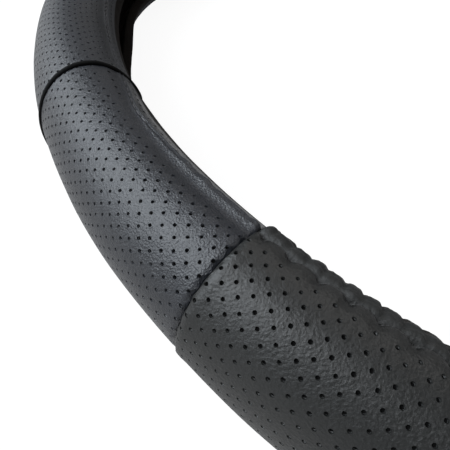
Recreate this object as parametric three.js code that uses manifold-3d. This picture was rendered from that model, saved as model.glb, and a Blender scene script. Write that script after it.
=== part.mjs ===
// A slip-on steering wheel cover: a soft C-section ring of perforated leather over a rubber inner ring.
// Millimetres, +Z up. The cover lies flat, with its origin at the ring's centre on the surface it lies on.
// +Y is the twelve o'clock side of the wheel.
import * as THREE from "three";
import { mergeVertices } from "three/addons/utils/BufferGeometryUtils.js";
import Module from "manifold-3d";

const wasm = await Module();
wasm.setup();

// Ring and section
const OUTER_DIAMETER = 380;
const SECTION_WIDTH = 27; // radial, outside the leather
const SECTION_HEIGHT = 34; // axial, outside the leather
const LIP_ANGLE = 156; // where the skin starts to fold into the slot, from the section's outermost line
const FLAT_DEPTH = 0.35; // how far the underside is pressed flat

// Layers
const LEATHER = 1.1;
const RUBBER = 2.2;
const RUBBER_LIP = 0.9; // the rubber thins towards the slot
const CLEARANCE = 0.3;
const TONGUE_ANGLE = 17; // how far the leather runs back inside the lip

// Sewn groove of the hem beside the slot, by its angle from the section's outermost line
const SMOOTH_HEM_ANGLE = 133;
const GATHERED_HEM_ANGLE = 107;
const HEM_GROOVE_WIDTH = 1.4;
const HEM_GROOVE_DEPTH = 0.35;

// Grip ribs inside the rubber
const RIB_COUNT = 5;
const RIB_HEIGHT = 0.7;
const RIB_SPREAD = 112; // the outermost ribs, either side of the outermost line

// Panels round the ring
const QUADRANT = 90;
const INSERT_SPAN = 20; // each short insert, centred between two long grips
const SEAM_DIP = 0.6; // how deep the leather rolls down at a panel's end
const SEAM_ROLL = 1.5; // over this length
const PROUD = 0.4; // the grained grips stand above the smooth leather

// Piping between the inserts and the smooth grips
const PIPING_DIAMETER = 1.8;
const PIPING_LIFT = 0.2; // above the back of the leather
const PIPING_SIDES = 6;
const PIPING_STEPS = 26;

// Gathers of the grained grips' hem
const GATHER_PITCH = 5.3;
const GATHER_LENGTH = 2.8;
const GATHER_WIDTH = 2.2;
const GATHER_DEPTH = 0.5;

// Facets
const RING_STEP = 6;
const CROWN_STEPS = 14; // between the two hems' grooves
const HEM_STEPS = 3; // from a groove to the fold
const FOLD_STEPS = 3;
const BACKING_STEP = 28;
const PIPING_SECTION_STEP = 20;

const { degToRad } = THREE.MathUtils;
const fullTurn = Math.PI * 2;
const halfWidth = SECTION_WIDTH / 2;
const halfHeight = SECTION_HEIGHT / 2;
const tubeRadius = OUTER_DIAMETER / 2 - halfWidth;
const midHeight = halfHeight - FLAT_DEPTH;
const rubberDepth = LEATHER + CLEARANCE;
const tongueDepth = rubberDepth + RUBBER_LIP + CLEARANCE;
const lipThickness = tongueDepth + LEATHER;
const ringStep = degToRad(RING_STEP);

// A point of the section. Depth runs inwards from the smooth leather's outer skin.
function sectionPoint(angle, depth) {
  const normal = new THREE.Vector2(
    Math.cos(angle) / halfWidth,
    Math.sin(angle) / halfHeight,
  ).normalize();
  return new THREE.Vector2(
    halfWidth * Math.cos(angle),
    halfHeight * Math.sin(angle),
  ).addScaledVector(normal, -depth);
}

// The length of the section's outline for each radian, near an angle.
function outlineRate(angle) {
  return Math.hypot(halfWidth * Math.sin(angle), halfHeight * Math.cos(angle));
}

const lip = degToRad(LIP_ANGLE);
const tongueEnd = lip - degToRad(TONGUE_ANGLE);
const smoothHem = degToRad(SMOOTH_HEM_ANGLE);
const gatheredHem = degToRad(GATHERED_HEM_ANGLE);

// A number of even steps between two values, both ends among them.
function evenSteps(from, to, count) {
  return Array.from({ length: count + 1 }, (_, i) => from + ((to - from) * i) / count);
}

// Evenly spread angles from one side of the section to the other.
function spreadAngles(limit, step) {
  return evenSteps(-limit, limit, Math.round((2 * limit) / degToRad(step)));
}

// The points between the ends of a half circle that turns a wall round at the lip.
function foldPoints(angle, outerDepth, innerDepth, count) {
  const start = sectionPoint(angle, outerDepth);
  const centre = start.clone().lerp(sectionPoint(angle, innerDepth), 0.5);
  const turn = Math.sign(angle) * Math.PI;
  return Array.from({ length: count }, (_, i) =>
    start.clone().rotateAround(centre, (turn * (i + 1)) / (count + 1)),
  );
}

// A leather panel's section: skin, fold round each lip, and a tongue inside it.
function leatherSection(proud, hem) {
  const grooveHalf = HEM_GROOVE_WIDTH / 2 / outlineRate(hem);
  const outside = evenSteps(hem + grooveHalf, lip, HEM_STEPS);
  const skin = [
    ...outside.map((angle) => -angle).reverse(),
    -hem,
    ...evenSteps(grooveHalf - hem, hem - grooveHalf, CROWN_STEPS),
    hem,
    ...outside,
  ];
  const outer = skin.map((angle) =>
    sectionPoint(angle, Math.abs(angle) === hem ? HEM_GROOVE_DEPTH - proud : -proud),
  );
  const backing = spreadAngles(lip, BACKING_STEP).map((angle) => sectionPoint(angle, LEATHER));
  const upperTongue = [
    sectionPoint(lip, lipThickness + proud),
    sectionPoint(tongueEnd, lipThickness + proud),
    sectionPoint(tongueEnd, tongueDepth),
    sectionPoint(lip, tongueDepth),
    ...foldPoints(lip, LEATHER, tongueDepth, 1).reverse(),
  ];
  const lowerTongue = upperTongue.map((p) => new THREE.Vector2(p.x, -p.y)).reverse();
  return [
    ...outer,
    ...foldPoints(lip, -proud, lipThickness + proud, FOLD_STEPS),
    ...upperTongue,
    ...backing.reverse(),
    ...lowerTongue,
    ...foldPoints(-lip, -proud, lipThickness + proud, FOLD_STEPS).reverse(),
  ];
}

// The rubber ring's section, with grip ribs inside.
function rubberSection() {
  const outer = spreadAngles(lip, BACKING_STEP).map((angle) => sectionPoint(angle, rubberDepth));
  const plain = rubberDepth + RUBBER;
  const lipDepth = rubberDepth + RUBBER_LIP;
  const spread = degToRad(RIB_SPREAD);
  const ribHalf = spread / (2 * RIB_COUNT);
  const inner = [sectionPoint(-lip, lipDepth), sectionPoint(-tongueEnd, lipDepth)];
  for (let i = 0; i < RIB_COUNT; i++) {
    const middle = -spread + (2 * spread * i) / (RIB_COUNT - 1);
    inner.push(sectionPoint(middle - ribHalf, plain));
    inner.push(sectionPoint(middle, plain + RIB_HEIGHT));
    inner.push(sectionPoint(middle + ribHalf, plain));
  }
  inner.push(sectionPoint(tongueEnd, lipDepth), sectionPoint(lip, lipDepth));
  return [...outer, ...inner.reverse()];
}

// Stations along a panel: its ends, where their roll starts, and every whole step of the ring between.
function stations(from, to) {
  const roll = SEAM_ROLL / tubeRadius;
  const places = [from, from + roll, to - roll, to];
  const first = Math.ceil((from + roll * 1.2) / ringStep);
  for (let i = first; i * ringStep < to - roll * 1.2; i++) {
    places.push(i * ringStep);
  }
  return places.sort((a, b) => a - b);
}

// Whether a point of a panel's section lies on the skin, short of the fold.
function isSkin(point) {
  const size = Math.hypot(point.x / halfWidth, point.y / halfHeight);
  const angle = Math.atan2(point.y / halfHeight, point.x / halfWidth);
  return size > 1 - LEATHER / 2 / halfHeight && Math.abs(angle) < lip * 0.99;
}

// A section bent round the ring, changing evenly to a second section with as many points.
// The extrusion's steps become the panel's stations.
function bentPanel(section, from, to, lastSection = section) {
  const places = stations(from, to);
  const steps = places.length - 1;
  const geometry = new THREE.ExtrudeGeometry(new THREE.Shape(section), {
    depth: steps,
    steps,
    bevelEnabled: false,
  });
  const position = geometry.getAttribute("position");
  for (let i = 0; i < position.count; i++) {
    const step = steps - Math.round(position.getZ(i));
    const angle = places[step];
    const point = new THREE.Vector2(position.getX(i), position.getY(i));
    const match = section.findIndex((p) => p.distanceTo(point) < 1e-4);
    point.lerp(lastSection[match], (angle - from) / (to - from));
    const atEnd = step === 0 || step === steps;
    if (atEnd && isSkin(point)) {
      point.setLength(point.length() - SEAM_DIP);
    }
    const radius = tubeRadius + point.x;
    position.setXYZ(i, radius * Math.cos(angle), radius * Math.sin(angle), midHeight + point.y);
  }
  return geometry;
}

// A full ring turned from a closed section. The lathe turns about Y, which the rotation brings to Z.
function turnedRing(section) {
  const profile = section.map((p) => new THREE.Vector2(tubeRadius + p.x, midHeight + p.y));
  profile.push(profile[0].clone());
  return new THREE.LatheGeometry(profile, Math.round(fullTurn / ringStep)).rotateX(Math.PI / 2);
}

// The piping's centre line: over the skin from slot to slot, in a plane through the ring's axis.
function pipingPath(angle) {
  const depth = LEATHER - PIPING_LIFT - PIPING_DIAMETER / 2;
  const intoSlot = foldPoints(lip, depth, lipThickness - depth, 3).slice(0, 2);
  const over = spreadAngles(lip, PIPING_SECTION_STEP).map((a) => sectionPoint(a, depth));
  const outOfSlot = intoSlot.map((p) => new THREE.Vector2(p.x, -p.y)).reverse();
  const outward = new THREE.Vector3(Math.cos(angle), Math.sin(angle), 0);
  return new THREE.CatmullRomCurve3(
    [...outOfSlot, ...over, ...intoSlot].map((p) =>
      outward
        .clone()
        .multiplyScalar(tubeRadius + p.x)
        .setZ(midHeight + p.y),
    ),
  );
}

function pipingHoop(angle) {
  const circle = new THREE.Shape(
    Array.from({ length: PIPING_SIDES }, (_, i) =>
      new THREE.Vector2(PIPING_DIAMETER / 2, 0).rotateAround(
        new THREE.Vector2(),
        (fullTurn * (i + 0.5)) / PIPING_SIDES,
      ),
    ),
  );
  return new THREE.ExtrudeGeometry(circle, {
    steps: PIPING_STEPS,
    bevelEnabled: false,
    extrudePath: pipingPath(angle),
  });
}

// Lens-shaped dents along a grained grip's two hems, where its stitches pull the leather down.
function gatherDents(from, to) {
  const seat = sectionPoint(gatheredHem, -PROUD);
  const out = sectionPoint(gatheredHem, -PROUD - 1).sub(seat);
  const seatRadius = tubeRadius + seat.x;
  const count = Math.floor(((to - from) * seatRadius) / GATHER_PITCH);
  const pitch = (to - from) / count;
  const dents = [];
  for (const side of [-1, 1]) {
    const spin = Math.atan2(out.y * side, out.x);
    for (let i = 0; i < count; i++) {
      dents.push(
        new THREE.OctahedronGeometry(1)
          .scale(GATHER_DEPTH + HEM_GROOVE_DEPTH, GATHER_LENGTH / 2, GATHER_WIDTH / 2)
          .rotateY(-spin)
          .translate(seatRadius, 0, midHeight + side * seat.y)
          .rotateZ(from + pitch * (i + 0.5)),
      );
    }
  }
  return dents;
}

// Joins and cuts
function toSolid(geometry) {
  const bare = geometry.index ? geometry.toNonIndexed() : geometry.clone();
  bare.deleteAttribute("normal");
  bare.deleteAttribute("uv");
  const merged = mergeVertices(bare, 1e-4);
  return new wasm.Manifold(
    new wasm.Mesh({
      numProp: 3,
      vertProperties: merged.attributes.position.array,
      triVerts: new Uint32Array(merged.index.array),
    }),
  );
}

function toGeometry(solid) {
  const mesh = solid.getMesh();
  const geometry = new THREE.BufferGeometry();
  geometry.setAttribute("position", new THREE.BufferAttribute(mesh.vertProperties, 3));
  geometry.setIndex(new THREE.BufferAttribute(mesh.triVerts, 1));
  geometry.computeVertexNormals();
  return geometry;
}

const smoothLeather = new THREE.MeshStandardMaterial({
  color: 0x2b2d31,
  roughness: 0.5,
  metalness: 0,
});
const grainedLeather = new THREE.MeshStandardMaterial({
  color: 0x262829,
  roughness: 0.62,
  metalness: 0,
});
const pipingCord = new THREE.MeshStandardMaterial({
  color: 0x0b0b0c,
  roughness: 0.55,
  metalness: 0,
});
const innerRubber = new THREE.MeshStandardMaterial({
  color: 0x141311,
  roughness: 0.8,
  metalness: 0,
});

const cover = new THREE.Group();

// Everything below the surface that the cover lies on is pressed flat.
const below = toSolid(
  new THREE.BoxGeometry(OUTER_DIAMETER * 2, OUTER_DIAMETER * 2, SECTION_HEIGHT).translate(
    0,
    0,
    -SECTION_HEIGHT / 2,
  ),
);

function addPiece(name, solid, material) {
  const mesh = new THREE.Mesh(toGeometry(solid.subtract(below)), material);
  mesh.name = name;
  cover.add(mesh);
}

addPiece("inner_ring", toSolid(turnedRing(rubberSection())), innerRubber);

const smoothSection = leatherSection(0, smoothHem);
const insertSection = leatherSection(0, gatheredHem);
const grainedSection = leatherSection(PROUD, gatheredHem);
const halfInsert = degToRad(INSERT_SPAN / 2);
const halfGrip = degToRad(QUADRANT / 2) - halfInsert;
const seamGap = CLEARANCE / 2 / tubeRadius;
const pipingGap = (PIPING_DIAMETER / 2 + CLEARANCE) / tubeRadius;

for (const [side, centre] of [
  ["right", 0],
  ["left", 2],
]) {
  const middle = degToRad(centre * QUADRANT);
  const from = middle - halfGrip + pipingGap;
  const to = middle + halfGrip - pipingGap;
  addPiece(`smooth_grip_${side}`, toSolid(bentPanel(smoothSection, from, to)), smoothLeather);
}

for (const [side, centre] of [
  ["top", 1],
  ["bottom", 3],
]) {
  const middle = degToRad(centre * QUADRANT);
  const from = middle - halfGrip + seamGap;
  const to = middle + halfGrip - seamGap;
  let grip = toSolid(bentPanel(grainedSection, from, to));
  for (const dent of gatherDents(from, to)) {
    grip = grip.subtract(toSolid(dent));
  }
  addPiece(`grained_grip_${side}`, grip, grainedLeather);
}

// Each corner's insert has the piping on the side of its smooth grip, and its hem widens from there.
for (const [corner, centre, pipingSide] of [
  ["upper_right", 0.5, -1],
  ["upper_left", 1.5, 1],
  ["lower_left", 2.5, -1],
  ["lower_right", 3.5, 1],
]) {
  const middle = degToRad(centre * QUADRANT);
  const low = pipingSide < 0 ? pipingGap : seamGap;
  const high = pipingSide < 0 ? seamGap : pipingGap;
  const ends = [smoothSection, insertSection];
  if (pipingSide > 0) {
    ends.reverse();
  }
  const from = middle - halfInsert + low;
  const insert = bentPanel(ends[0], from, middle + halfInsert - high, ends[1]);
  addPiece(`insert_${corner}`, toSolid(insert), smoothLeather);
  const hoop = pipingHoop(middle + pipingSide * halfInsert);
  addPiece(`piping_${corner}`, toSolid(hoop), pipingCord);
}

export default cover;
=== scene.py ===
"""A slip-on steering wheel cover of perforated leather, seen close up at its lower left."""

import math

import bpy
import numpy as np
from mathutils import Matrix, Vector


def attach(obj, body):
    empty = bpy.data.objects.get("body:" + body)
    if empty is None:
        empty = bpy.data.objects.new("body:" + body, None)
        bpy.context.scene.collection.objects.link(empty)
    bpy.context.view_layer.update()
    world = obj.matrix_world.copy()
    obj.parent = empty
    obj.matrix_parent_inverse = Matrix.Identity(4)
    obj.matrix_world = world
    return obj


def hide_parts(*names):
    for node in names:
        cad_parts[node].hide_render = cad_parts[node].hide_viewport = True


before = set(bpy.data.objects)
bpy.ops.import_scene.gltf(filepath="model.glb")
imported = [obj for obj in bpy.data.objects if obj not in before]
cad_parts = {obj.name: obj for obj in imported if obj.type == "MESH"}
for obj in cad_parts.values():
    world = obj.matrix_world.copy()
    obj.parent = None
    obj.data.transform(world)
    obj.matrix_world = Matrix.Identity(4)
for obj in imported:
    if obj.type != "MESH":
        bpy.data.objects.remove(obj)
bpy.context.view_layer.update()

# Sizes are millimetres until a mesh is made. The ring's angle runs from +X towards +Y.
MM = 0.001
DEGREE = math.radians(1)
TURN = 2 * math.pi

# Ring and section, as in the part's source
OUTER_DIAMETER = 380.0
SECTION_WIDTH = 27.0
SECTION_HEIGHT = 34.0
LIP_ANGLE = 156 * DEGREE
FLAT_DEPTH = 0.35
LEATHER = 1.1
RUBBER = 2.2
RUBBER_LIP = 0.9
CLEARANCE = 0.3
TONGUE_ANGLE = 17 * DEGREE
INSERT_SPAN = 20.0
PROUD = 0.4
GATHER_PITCH = 5.3

HALF_WIDTH = SECTION_WIDTH / 2
HALF_HEIGHT = SECTION_HEIGHT / 2
TUBE_RADIUS = OUTER_DIAMETER / 2 - HALF_WIDTH
MID_HEIGHT = HALF_HEIGHT - FLAT_DEPTH
RUBBER_DEPTH = LEATHER + CLEARANCE
LIP_THICKNESS = 2 * LEATHER + 2 * CLEARANCE + RUBBER_LIP
FOLD_RADIUS = LIP_THICKNESS / 2
FOLD_CORNER = 0.7  # the fold at the lip turns round two corners of this radius
SKIN_SAMPLES, FOLD_SAMPLES, TONGUE_SAMPLES = 500, 60, 30

# The lower lip, which the cover lies on, stands in towards the ring's centre
LOWER_LIP = (95, 150)  # degrees of the section over which it comes in
LIP_PUSH = 1.0
LIP_SWAYS = ((0.5, 8, -90 * DEGREE), (0.2, 5, 1.0))  # height, waves round the ring, phase
LIP_BULGE = (2.4, 0.0, 9 * DEGREE)
LIP_BULGE_ANGLE = 195.5 * DEGREE

# Perforations: columns of punched holes, each column half a row off its neighbours
COLUMN_PITCH = 1.58
ROW_PITCH = 3.15
ROWS = {"smooth": 21, "grained": 17, "insert": 17}
HOLE_RADIUS = 0.36
HOLE_TAPER = 0.05
HOLE_DEPTH = 0.4
HOLE_WANDER = 0.06
HOLE_SIZES = (0.93, 1.07)

# Hems: the length along the section at which the sewn groove runs, and its thread
HEM = {"smooth": 35.1, "insert": 29.3, "grained": 28.8}
HEM_AT_PIPING = {"smooth": 34.0, "insert": 32.8}
HEM_DRIFT = 21.0
CREST = 1.9  # how far past the groove the hem is highest, where one more row of holes lies
CREST_STARTS = (14, 45)  # an insert's hem turns into a crest over these distances from the piping
STITCHED = 22.0  # how far from the piping an insert's hem keeps its stitches in sight
STITCH_PITCH = 3.0
STITCH_LENGTH = 2.3
STITCH_ROOM = 3.0
# Shares of the stitch's length and of the thread's radius, and the lift
STITCH_PROFILE = ((0.0, 0.4, 0.0), (0.2, 1.0, 0.12), (0.8, 1.0, 0.12), (1.0, 0.4, 0.0))
THREAD_RADIUS = 0.18
THREAD_SIDES = 6

# Lines of points along a hem: how far past its groove, then how many more to the perforations, over
# the lip and round the fold
HEM_LINES = [-0.7, -0.5, -0.36, -0.18, 0, 0.18, 0.36, 0.5, 0.7, 1.0, 1.4, CREST, 2.4, 3.1, 3.9]
LEAD_LINES = {"smooth": 2, "grained": 1, "insert": 5}
LIP_LINES = 5
FOLD_LINES = 8
EXTRA_ROW_ROOM = 0.6
HEM_HOLES_FROM, HEM_HOLES_STEP = 3, 4  # half columns
EXTRA_ROW_LINES = 4  # an extra row of holes lies on one of these first lines

# Ridges, and grooves where the height is negative: height, place, half width. The place is how far
# past the hem's groove or from the seam.
GROOVE = (-0.22, 0.0, 0.24)
FOLDED_EDGES = (0.26, 0.5, 0.2)  # on both sides of the groove
FOLDED_EDGES_LOST = 0.7  # the share of them that a crest hides
HEM_SWELL = (0.20, CREST, 1.0)
HEM_CREST = (0.8, 0.3, 1.2)
CREST_VALLEY = (-0.6, -2.6, 1.8)
HEM_PULL = (-0.20, -1.6, 1.4)
HEM_PULL_SHARE = 0.6  # of the pull that is there all along
HEM_PULL_STRETCH = 0.3
GATHER_CREASE = (-0.6, 0.0, 0.35)
GATHER_DENT = (-1.0, -0.1, 0.8)
GATHER_PUFF = (0.2, -2.0, 1.6)
WRINKLED = (1.0, -1.5, 4.0)
STITCH_PULL = (-0.22, 0.0, 0.9)
SEAM_SWELL = (0.14, 1.2, 1.1)
END_LUMP = (0.5, 1.6, 1.8)
END_LUMP_ACROSS = (1.0, 2.6, 1.9)

# Random swells: height, seed, wavelength
SKIN_SWELLS = ((0.16, 61, 30), (0.05, 62, 9))
HEM_WANDER = (0.12, 31, 15)
HEM_SWELL_UNEVEN = (0.5, 32, 7)
HEM_PULL_UNEVEN = (0.4, 33, 6)
LIP_UNEVEN = (0.07, 34, 5)
LIP_UNEVEN_REACH = 1.0  # how far back on the skin it starts
HEM_CREST_UNEVEN = (0.3, 35, 5)
GATHER_WANDER = (0.10, 41, 30)
PAD_WANDER = (0.20, 42, 17)
WRINKLES = (0.08, 43, 1.9)
PAD_UNEVEN = (0.15, 44, 9)
PAD_ROUGH = (0.2, 45, 1.8)
PAD_LEAN = (0.25, 46, 5)
STITCH_WANDER = (2.0, 51, 15)

# Gathers: a crease that sways from dent to dent, then a raised band of pads over the lip
CREASE_OUT = 0.25
CREASE_SWAY = 0.5
UNDERSIDE_SHIFT = 0.4  # of a pitch, against the upper side
BAND_STARTS = (0.1, 1.1)
PAD_PITCH = 3.5
PAD_HEIGHT = 0.4
PAD_GAP_DEPTH = 0.42
WRINKLE_LEAN = 0.25

# Seams
SEAM_DROP = 1.7
SEAM_GAP = {"piping": 0.5, "sewn": 0.12}
SEAM_ROLL = {"piping": (0.9, 0.4), "sewn": (0.8, 0.5)}  # width and drop of the skin's rounded edge
GRAINED_SEAM_ROLL = (0.9, 0.55)
SEAM_STITCH = 2.7
SEAM_JAG = 0.10
SEAM_WANDER = (0.14, 20)  # height and wavelength
SEAM_REACH = 7  # how far from a seam the perforations follow it
PULL_FADES = (10, 24)  # lengths along the section over which the stitches' pull fades
PULL_FADED = 0.8
JAG_FADES = (12, 24)
INSERT_SKEW = 0.1
PIPING_RADIUS = 0.62
PIPING_DEPTH = 0.12
PIPING_SIDES = 12
PIPING_SAMPLES = 200
PIPING_END = 1.5  # how far before the fold's end it stops
PIPING_WANDER = (0.12, 25)
PIPING_LIFT = (0.06, 12)

# The rubber ring's ribs and lips
RIB_HEIGHT = 0.45
RIB_PITCH = 14 * DEGREE
LIP_THINS = 0.1  # radians of the section over which the rubber thins to its lip
RUBBER_STEPS = 240
RUBBER_SAMPLES = 70

rng = np.random.default_rng(7)


def ellipse(t):
    """Places and outward normals of the plain section at angles from its outermost point."""
    place = np.stack([HALF_WIDTH * np.cos(t), HALF_HEIGHT * np.sin(t)], 1)
    normal = np.stack([np.cos(t) / HALF_WIDTH, np.sin(t) / HALF_HEIGHT], 1)
    return place, normal / np.linalg.norm(normal, axis=1, keepdims=True)


def section_table():
    """The half section's skin, fold and tongue: length along it, place and outward normal, and the
    lengths at which the skin, the fold and the tongue end."""
    skin, skin_normal = ellipse(np.linspace(0, LIP_ANGLE, SKIN_SAMPLES))
    end, out = skin[-1], skin_normal[-1]
    along = np.array([-out[1], out[0]])
    turn = np.linspace(0, math.pi, FOLD_SAMPLES)[1:, None]
    fold_normal = np.cos(turn) * out + np.sin(turn) * along
    to_corner = np.clip(np.tan(math.pi / 2 - turn), -1, 1) * out
    to_corner = to_corner + np.clip(np.abs(np.tan(turn)), 0, 1) * along
    fold = end - out * FOLD_RADIUS + fold_normal * FOLD_CORNER
    fold = fold + to_corner * (FOLD_RADIUS - FOLD_CORNER)
    tongue_angles = np.linspace(LIP_ANGLE, LIP_ANGLE - TONGUE_ANGLE, TONGUE_SAMPLES)[1:]
    back, back_normal = ellipse(tongue_angles)
    tongue = back - back_normal * LIP_THICKNESS
    place = np.concatenate([skin, fold, tongue])
    normal = np.concatenate([skin_normal, fold_normal, -back_normal])
    steps = np.linalg.norm(np.diff(place, axis=0), axis=1)
    length = np.concatenate([[0], np.cumsum(steps)])
    skin_end, fold_end = length[len(skin) - 1], length[len(skin) + len(fold) - 1]
    return length, place, normal, skin_end, fold_end, length[-1]


LENGTH, PLACE, NORMAL, SKIN_END, FOLD_END, TONGUE_END = section_table()
LIP_EDGE = (SKIN_END + FOLD_END) / 2


def ridge(x, height, place, width):
    return height * np.exp(-(((x - place) / width) ** 2))


def smooth(x, low, high):
    """0 below the low value and 1 above the high one, with a soft step between."""
    t = np.clip((x - low) / (high - low), 0, 1)
    return t * t * (3 - 2 * t)


def pulse(turn):
    """1 at each whole turn and 0 half way between."""
    return 0.5 + 0.5 * np.cos(turn)


WAVES = 5  # sines in a random swell
WAVELENGTHS = (0.7, 1.5)  # times the one that is asked for
LINE_WAVELENGTHS = (0.6, 1.6)
PHASES = (0, 6.3)


def lumps(arc, s, height, seed, wave):
    """A gentle random swell over the skin, of about the given height and wavelength."""
    r = np.random.default_rng(seed)
    total = np.zeros(np.broadcast(arc, s).shape)
    for _ in range(WAVES):
        heading = r.uniform(0, TURN)
        k = TURN / (wave * r.uniform(*WAVELENGTHS))
        along = arc * math.cos(heading) + s * math.sin(heading)
        total = total + np.sin(k * along + r.uniform(*PHASES))
    return height * total / WAVES


def wave_along(x, height, seed, wave):
    """The same swell along one line."""
    r = np.random.default_rng(seed)
    total = np.zeros(np.shape(x))
    for _ in range(WAVES):
        k = TURN / (wave * r.uniform(*LINE_WAVELENGTHS))
        total = total + np.sin(k * x + r.uniform(*PHASES))
    return height * total / WAVES


def section(s):
    """Place and normal of the section at signed lengths from its outermost line, up positive."""
    side = np.where(s < 0, -1.0, 1.0)
    a = np.abs(s)
    x = np.interp(a, LENGTH, PLACE[:, 0])
    z = np.interp(a, LENGTH, PLACE[:, 1]) * side
    nx = np.interp(a, LENGTH, NORMAL[:, 0])
    nz = np.interp(a, LENGTH, NORMAL[:, 1]) * side
    return x, z, nx, nz


def around(angle, x, z):
    """Points in the frame, in metres, for the ring's angle and a place in its section."""
    low = smooth(np.degrees(np.arctan2(-z / HALF_HEIGHT, x / HALF_WIDTH)), *LOWER_LIP)
    push = LIP_PUSH + sum(h * np.sin(waves * angle + phase) for h, waves, phase in LIP_SWAYS)
    past_bulge = (angle - LIP_BULGE_ANGLE + math.pi) % TURN - math.pi
    push = push + ridge(past_bulge, *LIP_BULGE)
    radius = TUBE_RADIUS + x - push * low
    up = np.maximum(MID_HEIGHT + z, 0.0)
    return np.stack([radius * np.cos(angle), radius * np.sin(angle), up], -1) * MM


def on_ring(arc, s, height):
    """Points for lengths round the ring and the section and a height above the skin."""
    x, z, nx, nz = section(s)
    return around(arc / TUBE_RADIUS, x + nx * height, z + nz * height)


def make_mesh(name, points, face_groups, materials, skin=None, crisp=None):
    """A mesh object from points and arrays of faces: each group is (faces, material number).
    An edge between two crisp points stays sharp."""
    used = np.zeros(len(points), bool)
    for faces, _ in face_groups:
        used[faces.ravel()] = True
    renumber = np.cumsum(used) - 1
    points = points[used]
    mesh = bpy.data.meshes.new(name)
    loops = np.concatenate([renumber[f].ravel() for f, _ in face_groups])
    totals = np.concatenate([np.full(len(f), f.shape[1]) for f, _ in face_groups])
    numbers = np.concatenate([np.full(len(f), m) for f, m in face_groups])
    first = np.concatenate([[0], np.cumsum(totals)[:-1]])
    mesh.vertices.add(len(points))
    mesh.vertices.foreach_set("co", points.astype(np.float32).ravel())
    mesh.loops.add(len(loops))
    mesh.loops.foreach_set("vertex_index", loops.astype(np.int32))
    mesh.polygons.add(len(totals))
    mesh.polygons.foreach_set("loop_start", first.astype(np.int32))
    mesh.polygons.foreach_set("loop_total", totals.astype(np.int32))
    mesh.polygons.foreach_set("material_index", numbers.astype(np.int32))
    mesh.polygons.foreach_set("use_smooth", np.full(len(totals), True))
    if skin is not None:
        layer = mesh.attributes.new("skin", "FLOAT_VECTOR", "POINT")
        layer.data.foreach_set("vector", skin[used].astype(np.float32).ravel())
    mesh.update(calc_edges=True)
    if crisp is not None:
        ends = np.empty(len(mesh.edges) * 2, np.int32)
        mesh.edges.foreach_get("vertices", ends)
        sharp = crisp[used][ends.reshape(-1, 2)].all(axis=1)
        mesh.attributes.new("sharp_edge", "BOOLEAN", "EDGE").data.foreach_set("value", sharp)
    obj = bpy.data.objects.new(name, mesh)
    bpy.context.collection.objects.link(obj)
    for m in materials:
        mesh.materials.append(m)
    return obj


# Materials


class Nodes:
    """The nodes of a material or of the world, made by short calls."""

    def __init__(self, owner):
        owner.use_nodes = True
        self.owner = owner
        self.tree = owner.node_tree

    def feed(self, node, socket, value):
        """Sets a node's input to a plain value, or links it to another node's output."""
        if isinstance(value, bpy.types.NodeSocket):
            self.tree.links.new(value, node.inputs[socket])
        else:
            node.inputs[socket].default_value = value

    def add(self, kind, inputs, **settings):
        node = self.tree.nodes.new(kind)
        for key, value in settings.items():
            setattr(node, key, value)
        for key, value in inputs.items():
            self.feed(node, key, value)
        return node

    def math(self, operation, a, b=0.0, c=0.0):
        return self.add("ShaderNodeMath", {0: a, 1: b, 2: c}, operation=operation).outputs[0]

    def noise(self, vector, scale, detail):
        inputs = {"Vector": vector, "Scale": scale, "Detail": detail}
        return self.add("ShaderNodeTexNoise", inputs).outputs["Fac"]

    def spread(self, value, low, high, to_low=0.0, to_high=1.0):
        inputs = {"Value": value, "From Min": low, "From Max": high}
        inputs |= {"To Min": to_low, "To Max": to_high}
        return self.add("ShaderNodeMapRange", inputs).outputs["Result"]

    def white_seen(self, to_camera, to_gloss):
        """How much of a white backdrop the camera's rays see, and those from a gloss or a glass."""
        rays = self.add("ShaderNodeLightPath", {}).outputs
        mirrored = self.math("MAXIMUM", rays["Is Glossy Ray"], rays["Is Transmission Ray"])
        mirrored = self.math("MULTIPLY", mirrored, to_gloss)
        return self.math("MULTIPLY_ADD", rays["Is Camera Ray"], to_camera, mirrored)


class Surface(Nodes):
    """A material with a Principled shader."""

    def __init__(self, name):
        super().__init__(bpy.data.materials.new(name))
        self.shader = self.tree.nodes["Principled BSDF"]

    def set(self, socket, value):
        self.feed(self.shader, socket, value)

    def set_colour(self, share, dark, light):
        """Blends two colours, each given as red, green and blue."""
        mix = self.add(
            "ShaderNodeMix", {0: share, 6: (*dark, 1), 7: (*light, 1)}, data_type="RGBA"
        )
        self.set("Base Color", mix.outputs[2])

    def set_bump(self, height, strength, distance):
        bump = self.add(
            "ShaderNodeBump", {"Strength": strength, "Distance": distance * MM, "Height": height}
        )
        self.set("Normal", bump.outputs["Normal"])


PEBBLE_SMOOTHNESS = 0.6
PEBBLE_REACH = 0.8
PEBBLE_SHARE = 0.35  # of the bump, against the fine noise
FINE_NOISE = 1.5  # times as fine as the pebbles
CREASE_SCALE = (900.0, 140.0, 1.0)  # per metre along the ring and along the section
CREASED = (0.016, 0.030)  # metres along the section
CLOUDS = 60.0  # per metre
FINE_IN_TONE = 0.5
PEBBLES_IN_TONE = 0.3
TONES = (0.5, 1.3)
DULL_STEP = 0.004
DULL_PAST_HEM = 0.5
DULL_LOW_DOWN = 0.35
LOW_DOWN = (-0.018, -0.002)
ROUGHNESS_VARIES = 0.07
ROUGHNESS_NOISE = (0.3, 0.7)


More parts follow.
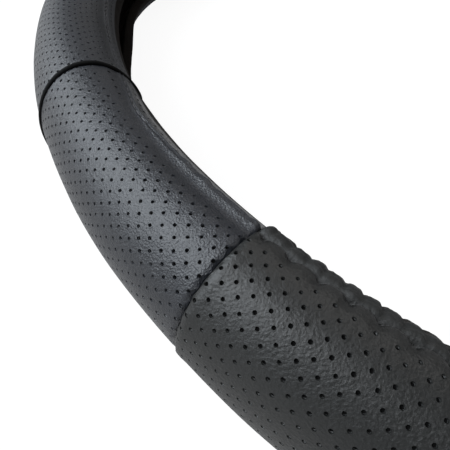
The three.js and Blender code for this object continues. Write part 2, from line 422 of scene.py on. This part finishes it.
def leather(
    name, dark, light, roughness, grain_size, grain_depth, crease_depth, gloss, dull_from
):
    """Leather with a pebbled grain, and creases that run across the hems. It is duller low down,
    and past the length dull_from along the section, in metres."""
    n = Surface(name)
    place = n.add("ShaderNodeTexCoord", {}).outputs["Object"]
    skin = n.add("ShaderNodeAttribute", {}, attribute_name="skin").outputs["Vector"]
    across = n.add("ShaderNodeSeparateXYZ", {0: skin}).outputs[1]
    length = n.math("ABSOLUTE", across)

    grain_scale = 1 / (grain_size * MM)
    cell_inputs = {"Vector": place, "Scale": grain_scale, "Smoothness": PEBBLE_SMOOTHNESS}
    cells = n.add("ShaderNodeTexVoronoi", cell_inputs, feature="SMOOTH_F1")
    pebbles = n.spread(cells.outputs["Distance"], 0.0, PEBBLE_REACH, 1.0, 0.0)
    fine = n.noise(place, FINE_NOISE * grain_scale, 5.0)
    grain = n.math("MULTIPLY_ADD", pebbles, PEBBLE_SHARE, fine)
    stretched = n.add("ShaderNodeMapping", {"Vector": skin, "Scale": CREASE_SCALE}).outputs[0]
    creases = n.math("MULTIPLY", n.noise(stretched, 1.0, 3.0), crease_depth)
    creases = n.math("MULTIPLY", creases, n.spread(length, *CREASED))
    n.set_bump(n.math("ADD", grain, creases), 1.0, grain_depth)

    tone = n.math("MULTIPLY_ADD", fine, FINE_IN_TONE, n.noise(place, CLOUDS, 5.0))
    tone = n.math("MULTIPLY_ADD", pebbles, PEBBLES_IN_TONE, tone)
    n.set_colour(n.spread(tone, *TONES), dark, light)
    dull = n.spread(length, dull_from, dull_from + DULL_STEP, 0.0, DULL_PAST_HEM)
    dull = n.math("ADD", dull, n.spread(across, *LOW_DOWN, DULL_LOW_DOWN, 0.0))
    rough, glossy = roughness + ROUGHNESS_VARIES, roughness - ROUGHNESS_VARIES
    rough = n.spread(fine, *ROUGHNESS_NOISE, rough, glossy)
    n.set("Roughness", n.math("ADD", rough, dull))
    n.set("Specular IOR Level", gloss)
    return n.owner


RUBBER_BUMP = 0.1
COLOUR_NOISE = (0.3, 0.75)
LIGHTER = 1.8
ROUGHER, GLOSSIER = 0.08, 0.06


def rubber(name, dark, roughness, noise_scale, bump_strength, gloss):
    """Rubber, cord or thread: a colour with a fine noise in it, whose scale is per metre."""
    n = Surface(name)
    place = n.add("ShaderNodeTexCoord", {}).outputs["Object"]
    noise = n.noise(place, noise_scale, 5.0)
    n.set_bump(noise, bump_strength, RUBBER_BUMP)
    n.set_colour(n.spread(noise, *COLOUR_NOISE), dark, [c * LIGHTER for c in dark])
    rough, glossy = roughness + ROUGHER, roughness - GLOSSIER
    n.set("Roughness", n.spread(noise, *ROUGHNESS_NOISE, rough, glossy))
    n.set("Specular IOR Level", gloss)
    return n.owner


smooth_leather = leather(
    "smooth_leather",
    dark=(0.007, 0.009, 0.013),
    light=(0.017, 0.020, 0.028),
    roughness=0.33,
    grain_size=0.50,
    grain_depth=0.17,
    crease_depth=0.7,
    gloss=0.75,
    dull_from=0.033,
)
grained_leather = leather(
    "grained_leather",
    dark=(0.005, 0.0055, 0.0053),
    light=(0.013, 0.0138, 0.0136),
    roughness=0.45,
    grain_size=0.65,
    grain_depth=0.11,
    crease_depth=1.5,
    gloss=0.66,
    dull_from=0.028,
)
# Painted shade and painted warm light: the lip, fold and tongue get a darker, brown-tinted copy of
# the leather, standing in for the shade on the lip and the warm light on its fold
lip_leather_painted_shade = leather(
    "lip_leather_painted_shade",
    dark=(0.008, 0.007, 0.006),
    light=(0.018, 0.015, 0.013),
    roughness=0.5,
    grain_size=0.5,
    grain_depth=0.12,
    crease_depth=1.0,
    gloss=0.12,
    dull_from=0.033,
)
hole_shade = rubber(
    "hole_shade",
    dark=(0.003, 0.003, 0.003),
    roughness=0.9,
    noise_scale=3000.0,
    bump_strength=0.2,
    gloss=0.1,
)
piping_skin = rubber(
    "piping_skin",
    dark=(0.002, 0.002, 0.002),
    roughness=0.75,
    noise_scale=1800.0,
    bump_strength=0.4,
    gloss=0.15,
)
inner_rubber = rubber(
    "inner_rubber",
    dark=(0.012, 0.010, 0.009),
    roughness=0.7,
    noise_scale=900.0,
    bump_strength=0.5,
    gloss=0.3,
)
thread = rubber(
    "thread",
    dark=(0.16, 0.16, 0.17),
    roughness=0.6,
    noise_scale=4000.0,
    bump_strength=0.5,
    gloss=0.3,
)


# Leather panels


def smooth_relief(arc, s, hem, crested):
    """A smooth hem: a sewn groove between two folded edges, which becomes a crest and a valley."""
    a = np.abs(s)
    d = a - hem
    sewn = ridge(d, *GROOVE) + ridge(np.abs(d), *FOLDED_EDGES)
    swell = ridge(d, *HEM_SWELL) * (1 + wave_along(arc, *HEM_SWELL_UNEVEN))
    crest = ridge(d, *HEM_CREST) * (1 + wave_along(arc, *HEM_CREST_UNEVEN))
    crest = crest + ridge(d, *CREST_VALLEY)
    pull = HEM_PULL_SHARE + lumps(arc, s * HEM_PULL_STRETCH, *HEM_PULL_UNEVEN)
    edge = wave_along(arc, *LIP_UNEVEN) * smooth(a, SKIN_END - LIP_UNEVEN_REACH, LIP_EDGE)
    sewn = sewn * (1 - FOLDED_EDGES_LOST * crested)
    return sewn + swell * (1 - crested) + crest * crested + pull * ridge(d, *HEM_PULL) + edge


def grained_relief(arc, s, hem):
    """A gathered hem: dents along a crease, then a raised band of small pads over the edge."""
    a = np.abs(s)
    side = np.where(s < 0, UNDERSIDE_SHIFT, 0.0)
    at_dent = pulse(TURN * (arc / GATHER_PITCH + side + wave_along(arc, *GATHER_WANDER)))
    d = a - (hem + CREASE_OUT - CREASE_SWAY * at_dent**2)
    dent = at_dent**3 * ridge(d, *GATHER_DENT)
    puff = (1 - at_dent) * ridge(d, *GATHER_PUFF)
    band = smooth(d, *BAND_STARTS) * (1 - smooth(a, LIP_EDGE, FOLD_END))
    leaning = (arc + wave_along(a, *PAD_LEAN)) / PAD_PITCH
    between_pads = 1 - pulse(TURN * (leaning + side + wave_along(arc, *PAD_WANDER)))
    pads = PAD_HEIGHT + wave_along(arc, *PAD_UNEVEN) - PAD_GAP_DEPTH * between_pads**4
    wrinkles = wave_along(arc + WRINKLE_LEAN * (a - hem), *WRINKLES) * ridge(a - hem, *WRINKLED)
    rough = lumps(arc, s, *PAD_ROUGH)
    return ridge(d, *GATHER_CREASE) + dent + puff + band * (pads + rough) + wrinkles


def seam_relief(distance, s, seam, hem, grained):
    """How the skin rolls down at a seam, and the dents that its stitches pull."""
    width, drop = GRAINED_SEAM_ROLL if grained else SEAM_ROLL[seam]
    t = np.clip(1 - distance / width, 0, 1)
    roll = -drop * (1 - np.sqrt(np.maximum(0, 1 - t * t)))
    if seam == "piping":
        return roll
    stitch = pulse(TURN * s / SEAM_STITCH + wave_along(s, *STITCH_WANDER)) ** 3
    low_down = 1 - PULL_FADED * smooth(np.abs(s), *PULL_FADES)
    pull = stitch * ridge(distance, *STITCH_PULL) * low_down
    if not grained:
        return roll + pull
    end_lump = ridge(distance, *END_LUMP) * ridge(np.abs(s) - hem, *END_LUMP_ACROSS)
    return roll + pull + end_lump + ridge(distance, *SEAM_SWELL)


def seam_path(s, seed):
    """How far a sewn seam wanders from its radial line."""
    jagged = SEAM_JAG * np.sin(TURN * s / SEAM_STITCH + wave_along(s, *STITCH_WANDER))
    height, wave = SEAM_WANDER
    return wave_along(s, height, seed, wave) + jagged * (1 - smooth(np.abs(s), *JAG_FADES))


FAR = 1000.0


class Panel:
    """The shape of one leather panel between two seams, by lengths along the ring and section."""

    def __init__(self, kind, start_angle, end_angle, seams, seam_seeds, skew=0.0):
        self.kind, self.seams, self.seam_seeds, self.skew = kind, seams, seam_seeds, skew
        self.start = math.radians(start_angle) * TUBE_RADIUS + SEAM_GAP[seams[0]]
        self.end = math.radians(end_angle) * TUBE_RADIUS - SEAM_GAP[seams[1]]
        self.edge = ROWS[kind] * ROW_PITCH / 2
        self.grained = kind == "grained"

    def from_ends(self, arc):
        return arc - self.start, self.end - arc

    def from_piping(self, arc):
        """How far the nearest piping is, or FAR where the panel has none."""
        distances = [FAR + 0 * arc]
        for distance, seam in zip(self.from_ends(arc), self.seams):
            if seam == "piping":
                distances.append(distance)
        return np.minimum.reduce(distances)

    def hem(self, arc):
        """Where the hem's sewn groove runs."""
        away = HEM[self.kind]
        if self.grained:
            return away + 0 * arc
        at_piping = HEM_AT_PIPING[self.kind]
        drift = smooth(self.from_piping(arc), 0, HEM_DRIFT)
        return at_piping + (away - at_piping) * drift + wave_along(arc, *HEM_WANDER)

    def height(self, arc, s):
        """The skin's height over the plain section."""
        hem = self.hem(arc)
        height = sum(lumps(arc, s, *swell) for swell in SKIN_SWELLS)
        if self.grained:
            height = height + PROUD + grained_relief(arc, s, hem)
        else:
            crested = 0.0
            if self.kind == "insert":
                crested = smooth(self.from_piping(arc), *CREST_STARTS)
            height = height + smooth_relief(arc, s, hem, crested)
        for distance, seam in zip(self.from_ends(arc), self.seams):
            height = height + seam_relief(distance, s, seam, hem, self.grained)
        return height

    def place(self, arc, s):
        """The lattice leans where the leather was cut off its grain, and its ends follow their
        seams."""
        near = [1 - smooth(distance, 0, SEAM_REACH) for distance in self.from_ends(arc)]
        moved = arc + self.skew * (1 - near[0]) * (1 - near[1]) * (np.abs(s) - self.edge / 2)
        for share, seam, seed in zip(near, self.seams, self.seam_seeds):
            if seam == "sewn":
                moved = moved + share * seam_path(s, seed)
        return moved

    def points(self, arc, s, depth):
        return on_ring(self.place(arc, s), s, self.height(arc, s) - depth)


EIGHT_AROUND = np.array([(1, 0), (1, 1), (0, 1), (-1, 1), (-1, 0), (-1, -1), (0, -1), (1, -1)])


def bridge(outer, inner):
    """Quads between rings of points, one row of each for every hole."""
    o2, i2 = np.roll(outer, -1, 1), np.roll(inner, -1, 1)
    return np.stack([outer, o2, i2, inner], -1).reshape(-1, 4)


def tube_quads(index):
    """Quads over a tube, from its rings of point numbers (..., rings, sides)."""
    ahead = np.roll(index, -1, -1)
    near, far = index[..., :-1, :], index[..., 1:, :]
    near_ahead, far_ahead = ahead[..., :-1, :], ahead[..., 1:, :]
    return np.stack([near, near_ahead, far_ahead, far], -1).reshape(-1, 4)


def hem_lines(panel, arcs):
    """Lengths along the section for each line of a hem, from the perforations' edge to the tongue's
    end, and the numbers of the lines where its holes lie and where the lip starts."""
    hem = panel.hem(arcs)
    lead = LEAD_LINES[panel.kind]
    lead_room = hem + HEM_LINES[0] - panel.edge
    lines = [panel.edge + lead_room * i / lead for i in range(1, lead)]
    lines += [hem + past for past in HEM_LINES]
    lip = len(lines) - 1
    last = lines[-1]
    lines += [last + (SKIN_END - last) * i / LIP_LINES for i in range(1, LIP_LINES + 1)]
    fold = np.linspace(SKIN_END, FOLD_END, FOLD_LINES + 1)[1:]
    lines += [length + 0 * hem for length in (*fold, (FOLD_END + TONGUE_END) / 2, TONGUE_END)]
    return np.array(lines), lead - 1 + HEM_LINES.index(CREST), lip


def stitches(panel, side):
    """Short threads that lie in a hem's groove."""
    count = int((panel.end - panel.start - 2 * STITCH_ROOM) / STITCH_PITCH)
    first = panel.start + STITCH_ROOM + STITCH_PITCH * np.arange(count)
    if panel.kind == "insert":
        first = first[panel.from_piping(first) < STITCHED]
    along, thick, lift = np.array(STITCH_PROFILE).T[:, None, :, None]
    thick = thick * THREAD_RADIUS
    turn = np.arange(THREAD_SIDES) * TURN / THREAD_SIDES
    arc = first[:, None, None] + along * STITCH_LENGTH + 0 * turn
    middle = side * panel.hem(arc)
    s = middle + thick * np.cos(turn)
    height = panel.height(arc, middle) + lift + thick * np.sin(turn)
    points = on_ring(panel.place(arc, s), s, height).reshape(-1, 3)
    index = np.arange(arc.size).reshape(arc.shape)
    caps = np.concatenate([index[:, 0, ::-1], index[:, -1]])
    return points, tube_quads(index), caps


ON_SKIN, IN_HOLE, ON_THREAD, ON_LIP = range(4)  # a panel's material numbers


class PanelMesh:
    """The points and faces of one perforated leather panel, as they are gathered."""

    def __init__(self, panel):
        self.panel = panel
        self.columns = round((panel.end - panel.start) / COLUMN_PITCH)
        self.where = np.zeros((3, 0))  # lengths along the ring and the section, and depth
        self.crisp = []
        self.groups = []

    def add(self, arc, s, depth):
        """Takes arrays of like shapes, and returns the new points' numbers in the same shape."""
        arc, s, depth = np.broadcast_arrays(arc, s, depth)
        first = self.where.shape[1]
        self.where = np.concatenate([self.where, [arc.ravel(), s.ravel(), depth.ravel()]], 1)
        return first + np.arange(arc.size).reshape(arc.shape)

    def perforate(self):
        """The lattice of holes. Returns the numbers of its grid's points."""
        panel, rows = self.panel, ROWS[self.panel.kind]
        arcs = np.linspace(panel.start, panel.end, 2 * self.columns + 1)
        lengths = np.linspace(-panel.edge, panel.edge, 2 * rows + 1)
        grid = self.add(*np.meshgrid(arcs, lengths, indexing="ij"), 0.0)
        j, k = np.array(
            [
                (2 * column + 1, k)
                for column in range(self.columns)
                for k in range(1 + column % 2, 2 * rows - column % 2, 2)
            ]
        ).T
        middle_arc = arcs[j] + rng.uniform(-HOLE_WANDER, HOLE_WANDER, len(j))
        middle_s = lengths[k] + rng.uniform(-HOLE_WANDER, HOLE_WANDER, len(j))
        radius = HOLE_RADIUS * rng.uniform(*HOLE_SIZES, len(j))
        turn = np.arange(8) * TURN / 8
        rim = grid[j[:, None] + EIGHT_AROUND[:, 0], k[:, None] + EIGHT_AROUND[:, 1]]
        top, bottom = [
            self.add(
                middle_arc[:, None] + (radius - taper)[:, None] * np.cos(turn),
                middle_s[:, None] + (radius - taper)[:, None] * np.sin(turn),
                depth,
            )
            for taper, depth in ((0.0, 0.0), (HOLE_TAPER, HOLE_DEPTH))
        ]
        self.crisp.append(top)
        self.groups += [(bridge(rim, top), ON_SKIN), (bridge(top, bottom), ON_SKIN)]
        self.groups.append((bottom, IN_HOLE))

        # Every second column leaves half a cell without a hole at each of its ends
        j, k = np.array(
            [
                (2 * column + half, k)
                for column in range(1, self.columns, 2)
                for k in (0, 2 * rows - 1)
                for half in (0, 1)
            ]
        ).T
        plain = np.stack([grid[j, k], grid[j + 1, k], grid[j + 1, k + 1], grid[j, k + 1]], -1)
        self.groups.append((plain, ON_SKIN))
        return grid

    def fold_hem(self, side, edge_line):
        """A hem on one side of the grid, with twice as many points along it where it wrinkles.
        Returns the numbers of its lines' points."""
        panel = self.panel
        fine = 1 if panel.kind == "smooth" else 2
        arcs = np.linspace(panel.start, panel.end, 2 * fine * self.columns + 1)
        lines, crest, lip = hem_lines(panel, arcs)
        line_arc = np.tile(arcs, (len(lines), 1))
        line_s = side * lines
        depth = np.zeros(lines.shape)
        on_rim = np.zeros(lines.shape, bool)
        in_hole = np.zeros((len(lines) - 1, len(arcs) - 1), bool)
        margin = HEM_HOLES_FROM * fine
        holes = range(margin, len(arcs) - margin, HEM_HOLES_STEP * fine)
        for j in () if panel.grained else holes:
            wanted = [crest]
            past_half_row = lines[:EXTRA_ROW_LINES, j] - panel.edge - ROW_PITCH / 2
            extra = int(np.argmin(np.abs(past_half_row)))
            if lines[0, j] > panel.edge + EXTRA_ROW_ROOM and extra > 0:
                wanted.append(extra)
            for r in wanted:
                middle = line_s[r, j]
                for dj, dr in EIGHT_AROUND:
                    reach = HOLE_RADIUS / math.hypot(dj, dr)
                    line_arc[r + dr, j + dj] = arcs[j] + dj * reach
                    line_s[r + dr, j + dj] = middle + side * dr * reach
                    on_rim[r + dr, j + dj] = True
                depth[r, j] = HOLE_DEPTH
                in_hole[r - 1 : r + 1, j - 1 : j + 1] = True
        index = self.add(line_arc, line_s, depth)
        self.crisp.append(index[on_rim])

        between = [index[0, i::fine][: len(edge_line) - 1] for i in range(fine)][::-1]
        fan = np.stack([edge_line[:-1], edge_line[1:], index[0, fine::fine], *between], -1)
        quads = np.stack([index[:-1, :-1], index[:-1, 1:], index[1:, 1:], index[1:, :-1]], -1)
        on_lip = np.arange(len(quads))[:, None] >= lip
        outwards = slice(None, None, side)
        self.groups += [
            (fan[:, outwards], ON_SKIN),
            (quads[~in_hole & ~on_lip][:, outwards], ON_SKIN),
            # the lip's quads take the leather copy with painted shade and warm light
            (quads[~in_hole & on_lip][:, outwards], ON_LIP),
            (quads[in_hole][:, outwards], IN_HOLE),
        ]
        return index

    def turn_down_ends(self, low, grid, high):
        """Each end's edge turns down into its seam."""
        for j, outwards in ((0, 1), (-1, -1)):
            line = np.concatenate([low[::-1, j], grid[j], high[:, j]])
            arc, s, _ = self.where[:, line]
            under = self.add(arc, s, SEAM_DROP)
            quads = np.stack([line[:-1], line[1:], under[1:], under[:-1]], -1)
            self.groups.append((quads[:, ::outwards], ON_SKIN))
            self.crisp.append(line)


def leather_panel(name, panel, material):
    """A perforated leather panel from seam to seam, with its hems folded into the slot."""
    parts = PanelMesh(panel)
    grid = parts.perforate()
    low, high = parts.fold_hem(-1, grid[:, 0]), parts.fold_hem(1, grid[:, -1])
    parts.turn_down_ends(low, grid, high)

    arc, s, depth = parts.where
    points = panel.points(arc, s, depth)
    skin = np.stack([arc, s, 0 * arc], 1) * MM
    if not panel.grained:
        for side in (-1, 1):
            more, quads, caps = stitches(panel, side)
            parts.groups += [(quads + len(points), ON_THREAD), (caps + len(points), ON_THREAD)]
            points = np.concatenate([points, more])
            skin = np.concatenate([skin, np.zeros_like(more)])
    is_crisp = np.zeros(len(points), bool)
    for numbers in parts.crisp:
        is_crisp[numbers.ravel()] = True
    materials = [material, hole_shade, thread, lip_leather_painted_shade]
    obj = make_mesh(name + "_leather", points, parts.groups, materials, skin, is_crisp)
    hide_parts(name)
    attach(obj, "root")


def piping(name, angle, seed):
    """A thin cord over the skin from slot to slot."""
    reach = FOLD_END - PIPING_END
    s = np.linspace(-reach, reach, PIPING_SAMPLES)
    (sway, sway_wave), (lift, lift_wave) = PIPING_WANDER, PIPING_LIFT
    arc = angle * TUBE_RADIUS + wave_along(s, sway, seed, sway_wave)
    centre = on_ring(arc, s, wave_along(s, lift, seed + 1, lift_wave) - PIPING_DEPTH)
    across = np.tile([-math.sin(angle), math.cos(angle), 0.0], (len(s), 1))
    forward = np.gradient(centre, axis=0)
    forward /= np.linalg.norm(forward, axis=1, keepdims=True)
    upward = np.cross(forward, across)
    turn = np.arange(PIPING_SIDES)[:, None] * TURN / PIPING_SIDES
    around_it = across[:, None] * np.cos(turn) + upward[:, None] * np.sin(turn)
    points = centre[:, None] + around_it * PIPING_RADIUS * MM
    points[..., 2] = np.maximum(points[..., 2], 0.0)
    quads = tube_quads(np.arange(points[..., 0].size).reshape(points.shape[:2]))
    hoop = make_mesh(f"{name}_cord", points.reshape(-1, 3), [(quads, 0)], [piping_skin])
    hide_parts(name)
    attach(hoop, "root")


HALF_INSERT = INSERT_SPAN / 2
HALF_GRIP = 45 - HALF_INSERT
SEAM_SEEDS = {"upper_right": 71, "upper_left": 72, "lower_left": 73, "lower_right": 74}
for side, middle in (("right", 0), ("left", 180)):
    ends = (middle - HALF_GRIP, middle + HALF_GRIP)
    shape = Panel("smooth", *ends, ("piping", "piping"), (0, 0))
    leather_panel(f"smooth_grip_{side}", shape, smooth_leather)
for side, middle, first, last in (
    ("top", 90, "upper_right", "upper_left"),
    ("bottom", 270, "lower_left", "lower_right"),
):
    ends = (middle - HALF_GRIP, middle + HALF_GRIP)
    shape = Panel("grained", *ends, ("sewn", "sewn"), (SEAM_SEEDS[first], SEAM_SEEDS[last]))
    leather_panel(f"grained_grip_{side}", shape, grained_leather)
for corner, middle, piping_side in (
    ("upper_right", 45, -1),
    ("upper_left", 135, 1),
    ("lower_left", 225, -1),
    ("lower_right", 315, 1),
):
    ends = (middle - HALF_INSERT, middle + HALF_INSERT)
    seams = ("piping", "sewn") if piping_side < 0 else ("sewn", "piping")
    seeds = (SEAM_SEEDS[corner],) * 2
    shape = Panel("insert", *ends, seams, seeds, skew=-INSERT_SKEW * piping_side)
    leather_panel(f"insert_{corner}", shape, smooth_leather)
    piping(f"piping_{corner}", math.radians(middle + piping_side * HALF_INSERT), middle)


def inner_ring():
    """The rubber ring under the leather, with ribs along its inside and thin lips."""
    t = np.linspace(-LIP_ANGLE, LIP_ANGLE, RUBBER_SAMPLES)
    place, normal = ellipse(t)
    tongue = LIP_ANGLE - TONGUE_ANGLE
    thin = smooth(np.abs(t), tongue - LIP_THINS, tongue)
    thickness = RUBBER + RIB_HEIGHT * pulse(TURN * t / RIB_PITCH) ** 2
    inner_depth = RUBBER_DEPTH + thickness * (1 - thin) + RUBBER_LIP * thin
    outer = place - normal * RUBBER_DEPTH
    inner = place - normal * inner_depth[:, None]
    outline = np.concatenate([outer, inner[::-1]])
    angle = np.arange(RUBBER_STEPS)[:, None] * TURN / RUBBER_STEPS
    points = around(angle + 0 * outline[:, 0], outline[:, 0] + 0 * angle, outline[:, 1] + 0 * angle)
    index = np.arange(RUBBER_STEPS * len(outline)).reshape(RUBBER_STEPS, len(outline))
    right, up = np.roll(index, -1, 0), np.roll(index, -1, 1)
    quads = np.stack([index, right, np.roll(right, -1, 1), up], -1).reshape(-1, 4)
    ring = make_mesh("inner_ring_rubber", points.reshape(-1, 3), [(quads, 0)], [inner_rubber])
    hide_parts("inner_ring")
    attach(ring, "root")


inner_ring()


# Floor and backdrop. Their white is the camera's, and a share of it is a gloss's.

FLOOR_REACH = 6.0
FLOOR_DEPTH = 0.0002
FLOOR_GREY = 0.14
FLOOR_SEEN = 0.93
FLOOR_MIRRORED = 0.5
WORLD_LIGHT = 0.05
WORLD_SEEN = 0.96
WORLD_MIRRORED = 0.2

floor_mesh = bpy.data.meshes.new("floor")
corners = [(x * FLOOR_REACH, y * FLOOR_REACH, 0) for x, y in ((-1, -1), (1, -1), (1, 1), (-1, 1))]
floor_mesh.from_pydata(corners, [], [(0, 1, 2, 3)])
floor = bpy.data.objects.new("floor", floor_mesh)
bpy.context.collection.objects.link(floor)
floor.location.z = -FLOOR_DEPTH
paper = Surface("floor_paper")
paper.set("Base Color", (FLOOR_GREY, FLOOR_GREY, FLOOR_GREY, 1))
paper.set("Roughness", 0.9)
paper.set("Specular IOR Level", 0.0)
paper.set("Emission Color", (1, 1, 1, 1))
paper.set("Emission Strength", paper.white_seen(FLOOR_SEEN, FLOOR_MIRRORED))
floor_mesh.materials.append(paper.owner)

world = bpy.data.worlds.new("world")
bpy.context.scene.world = world
sky = Nodes(world)
sky.tree.nodes.clear()
dim = {"Color": (0.95, 0.97, 1.0, 1), "Strength": WORLD_LIGHT}
white = {"Color": (1, 1, 1, 1), "Strength": WORLD_SEEN}
dim, white = (sky.add("ShaderNodeBackground", inputs).outputs[0] for inputs in (dim, white))
mix = sky.add("ShaderNodeMixShader", {0: sky.white_seen(1.0, WORLD_MIRRORED), 1: dim, 2: white})
sky.add("ShaderNodeOutputWorld", {"Surface": mix.outputs[0]})


# Lamps

LIT_PLACE = Vector((-0.11, -0.125, 0.02))


def area_light(name, azimuth, elevation, distance, width, height, power, colour):
    """A soft panel of light. Azimuth runs from +Y towards +X, elevation above the horizon."""
    a, e = math.radians(azimuth), math.radians(elevation)
    back = Vector((math.sin(a) * math.cos(e), math.cos(a) * math.cos(e), math.sin(e)))
    data = bpy.data.lights.new(name, "AREA")
    data.shape = "RECTANGLE"
    data.size, data.size_y = width, height
    data.energy = power
    data.color = colour
    lamp = bpy.data.objects.new(name, data)
    lamp.location = LIT_PLACE + back * distance
    lamp.rotation_mode = "QUATERNION"
    lamp.rotation_quaternion = back.to_track_quat("Z", "Y")
    bpy.context.collection.objects.link(lamp)


area_light(
    "window",
    azimuth=-95,
    elevation=35,
    distance=1.1,
    width=1.45,
    height=1.0,
    power=18.0,
    colour=(0.87, 0.94, 1.0),
)
area_light(
    "ceiling",
    azimuth=-126,
    elevation=62,
    distance=1.3,
    width=0.85,
    height=0.8,
    power=4.3,
    colour=(0.97, 0.98, 1.0),
)
area_light(
    "far_wall",
    azimuth=22,
    elevation=53,
    distance=1.3,
    width=1.0,
    height=0.55,
    power=2.4,
    colour=(1.0, 0.96, 0.92),
)


# The camera, as fitted to the photograph: 450 pixels across, and the ring turned a little, which
# brings its seams to where the photograph has them

FOCAL_PIXELS = 354.53
FRAME_PIXELS = 450
SENSOR = 36.0
TARGET = (-107.61, -124.95)
ELEVATION = 50.53 * DEGREE
DISTANCE = 79.74
ROLL = 10.15 * DEGREE
SEAM_TURN = 1.44 * DEGREE

back = Vector((0, -math.cos(ELEVATION), math.sin(ELEVATION)))
right = (-back).cross(Vector((0, 0, 1))).normalized()
up = right.cross(-back)
rolled_right = right * math.cos(ROLL) + up * math.sin(ROLL)
rolled_up = up * math.cos(ROLL) - right * math.sin(ROLL)
place = (Vector((*TARGET, MID_HEIGHT)) + back * DISTANCE) * MM
axes = Matrix((rolled_right, rolled_up, back)).transposed().to_4x4()
camera_data = bpy.data.cameras.new("camera")
camera_data.lens = SENSOR * FOCAL_PIXELS / FRAME_PIXELS
camera_data.sensor_width = SENSOR
camera_data.clip_start = 0.005
camera_data.clip_end = 20
camera = bpy.data.objects.new("camera", camera_data)
camera.matrix_world = Matrix.Rotation(SEAM_TURN, 4, "Z") @ Matrix.Translation(place) @ axes
bpy.context.collection.objects.link(camera)
bpy.context.scene.camera = camera

bpy.context.scene.view_settings.view_transform = "Standard"
